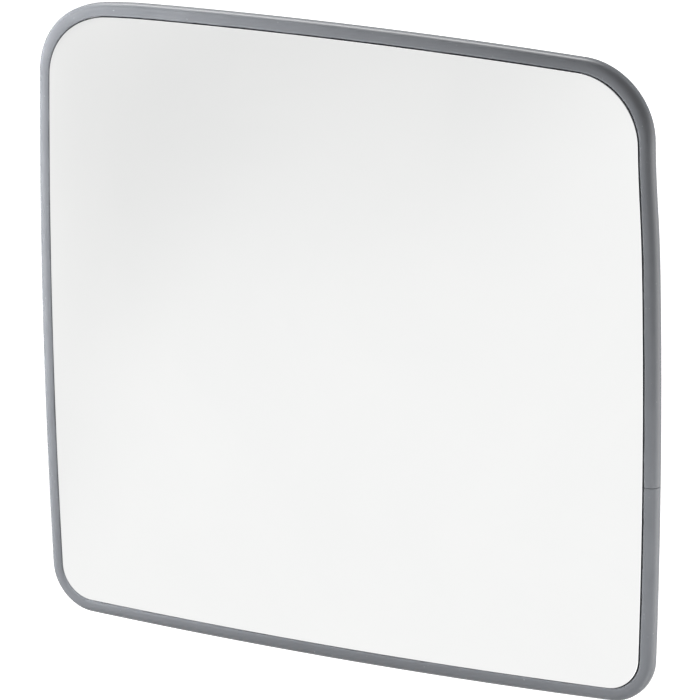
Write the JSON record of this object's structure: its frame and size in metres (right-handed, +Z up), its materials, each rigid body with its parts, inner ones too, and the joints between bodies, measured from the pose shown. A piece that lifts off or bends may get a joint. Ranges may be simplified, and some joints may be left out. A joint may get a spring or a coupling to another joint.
{
  "type": "convex security mirror",
  "caption": "Rounded-square convex security mirror with grey edge trim, on a ball-jointed wall arm that pans, tilts and turns.",
  "frame": {"origin": "centre of the wall plate's back face, on the arm's axis", "axes": "+Y out of the wall plate's back face, into the wall; the mirror faces -Y; +Z up; +X to the right as seen by someone looking into the mirror"},
  "size_m": [0.45, 0.2328, 0.4202],
  "materials": {
    "mirror_face": "polished",
    "grey_vinyl": "satin",
    "hardboard": "matte",
    "zinc": "satin",
    "cast_black": "matte",
    "nylon": "satin",
    "ball_steel": "polished",
    "black_coat": "satin"
  },
  "bodies": {
    "bracket": {"wall_plate": "black_coat", "arm_collar": "black_coat", "arm_lock_screw": "zinc"},
    "arm": {"arm_tube": "black_coat", "arm_plug": "zinc", "jam_nut": "zinc", "ball_stud": "ball_steel"},
    "liner": {"liner_front": "nylon", "liner_rear": "nylon"},
    "mirror_head": {"mirror_lens": "mirror_face", "edge_trim": "grey_vinyl", "back_board": "hardboard", "spreader_plate": "zinc", "socket_body": "cast_black", "clamp_ring": "cast_black", "mount_bolt_1": "zinc", "mount_bolt_2": "zinc", "mount_bolt_3": "zinc", "mount_bolt_4": "zinc", "mount_washer_1": "zinc", "mount_washer_2": "zinc", "mount_washer_3": "zinc", "mount_washer_4": "zinc", "mount_nut_1": "zinc", "mount_nut_2": "zinc", "mount_nut_3": "zinc", "mount_nut_4": "zinc", "clamp_screw_1": "zinc", "clamp_screw_2": "zinc", "clamp_screw_3": "zinc"}
  },
  "joints": [
    {"name": "arm_turn", "type": "hinge", "parent": "bracket", "child": "arm", "pos_m": [0, -0.02, 0], "axis": [0, -1, 0], "continuous": true},
    {"name": "mirror_pan", "type": "hinge", "parent": "arm", "child": "liner", "pos_m": [0, -0.165, 0], "axis": [0, 0, 1], "range_deg": [-25, 25]},
    {"name": "mirror_tilt", "type": "hinge", "parent": "liner", "child": "mirror_head", "pos_m": [0, -0.165, 0], "axis": [1, 0, 0], "range_deg": [-25, 25]}
  ]
}
